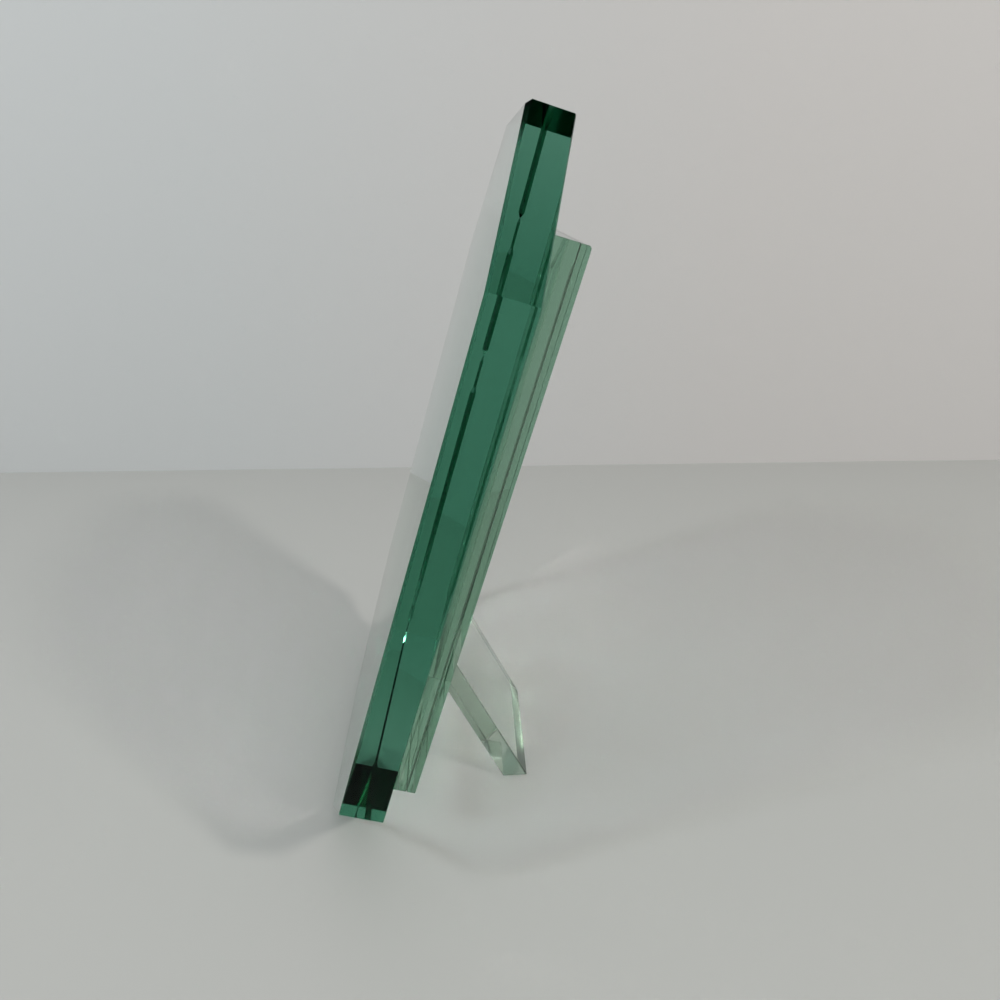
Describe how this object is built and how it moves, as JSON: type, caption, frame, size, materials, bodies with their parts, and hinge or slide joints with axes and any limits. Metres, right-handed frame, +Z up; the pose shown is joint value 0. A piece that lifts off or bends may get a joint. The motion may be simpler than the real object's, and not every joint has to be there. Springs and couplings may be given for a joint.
{
  "type": "glass picture frame",
  "caption": "Free-standing picture frame of thick polished glass with cut corners, a print pocket between clear back plates, and a fixed glass easel leg.",
  "frame": {"origin": "on the table under the middle of the frame's box", "axes": "+X across the frame to the viewer's right when the picture faces the viewer, +Y from the picture towards the leg, +Z up"},
  "size_m": [0.165, 0.0844, 0.2232],
  "materials": {
    "slab_glass": "polished green float glass, edges polished flat with ground arrises",
    "plate_glass": "polished green float glass, edges seamed",
    "leg_glass": "polished green float glass, edges seamed",
    "clear_adhesive": "cured clear adhesive, thin film"
  },
  "bodies": {
    "root": {"front_slab": "slab_glass", "inner_plate": "plate_glass", "outer_plate": "plate_glass", "easel_leg": "leg_glass", "slab_bond_bottom": "clear_adhesive", "slab_bond_top_left": "clear_adhesive", "slab_bond_top_right": "clear_adhesive", "pocket_strip_left": "clear_adhesive", "pocket_strip_right": "clear_adhesive", "pocket_strip_bottom": "clear_adhesive", "leg_bond": "clear_adhesive"}
  },
  "joints": []
}
